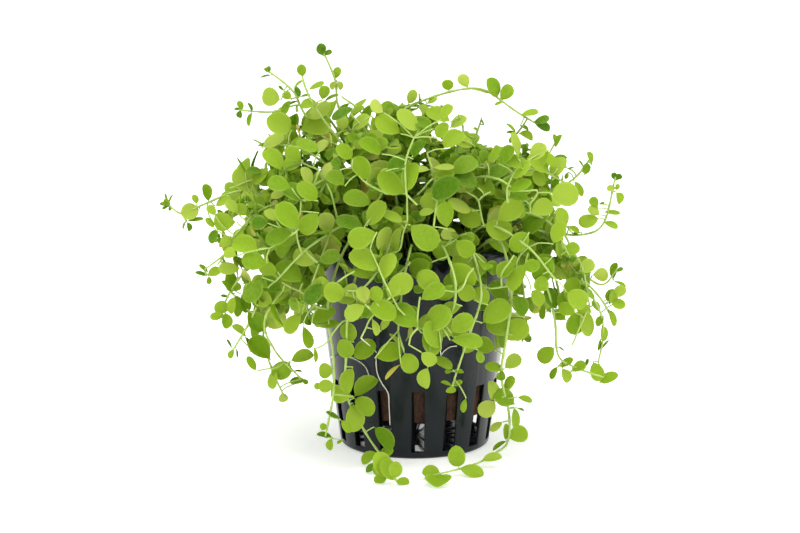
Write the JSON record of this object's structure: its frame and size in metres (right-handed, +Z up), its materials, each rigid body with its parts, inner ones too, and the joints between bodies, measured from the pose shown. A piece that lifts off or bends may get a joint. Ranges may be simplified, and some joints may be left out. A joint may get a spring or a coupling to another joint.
{
  "type": "potted pearlweed plant",
  "caption": "Pearlweed in a slotted net pot: thin arching stems with small round leaves in pairs, some trailing down the pot onto the surface.",
  "frame": {"origin": "centre of the pot's underside, on the surface that it stands on", "axes": "+Z up, +X to the right of the side that the picture shows, +Y away from that side"},
  "size_m": [0.1122, 0.0863, 0.0976],
  "materials": {
    "moulded_pot": "satin",
    "plug_fibre": "matte",
    "leaf_green": "satin"
  },
  "bodies": {
    "root": {"growing_plug": "plug_fibre", "net_pot": "moulded_pot", "shoot_back_crown_left": "leaf_green", "shoot_back_crown_right": "leaf_green", "shoot_back_left": "leaf_green", "shoot_back_left_hang": "leaf_green", "shoot_back_long": "leaf_green", "shoot_back_middle": "leaf_green", "shoot_back_right": "leaf_green", "shoot_back_right_hang": "leaf_green", "shoot_back_upper": "leaf_green", "shoot_back_upper_left": "leaf_green", "shoot_back_upper_right": "leaf_green", "shoot_crown_arch": "leaf_green", "shoot_crown_bud": "leaf_green", "shoot_crown_front_left": "leaf_green", "shoot_crown_front_right": "leaf_green", "shoot_crown_left_front": "leaf_green", "shoot_crown_middle": "leaf_green", "shoot_crown_outer": "leaf_green", "shoot_crown_right": "leaf_green", "shoot_crown_right_front": "leaf_green", "shoot_crown_spray": "leaf_green", "shoot_crown_tall": "leaf_green", "shoot_crown_upright": "leaf_green", "shoot_front_drop": "leaf_green", "shoot_front_garland": "leaf_green", "shoot_front_loop": "leaf_green", "shoot_front_lower_left": "leaf_green", "shoot_front_lower_right": "leaf_green", "shoot_front_middle": "leaf_green", "shoot_front_upper": "leaf_green", "shoot_front_upper_left": "leaf_green", "shoot_front_upper_middle": "leaf_green", "shoot_front_upper_right": "leaf_green", "shoot_left_back": "leaf_green", "shoot_left_droop": "leaf_green", "shoot_left_far": "leaf_green", "shoot_left_hang": "leaf_green", "shoot_left_high": "leaf_green", "shoot_left_inner": "leaf_green", "shoot_left_low": "leaf_green", "shoot_left_middle": "leaf_green", "shoot_left_tip": "leaf_green", "shoot_left_upper": "leaf_green", "shoot_right_back": "leaf_green", "shoot_right_bend": "leaf_green", "shoot_right_drop": "leaf_green", "shoot_right_far": "leaf_green", "shoot_right_hang": "leaf_green", "shoot_right_high": "leaf_green", "shoot_right_inner": "leaf_green", "shoot_right_side": "leaf_green", "shoot_right_tip": "leaf_green", "shoot_trailing_left": "leaf_green", "shoot_trailing_right": "leaf_green", "shoot_trailing_short": "leaf_green"}
  },
  "joints": []
}
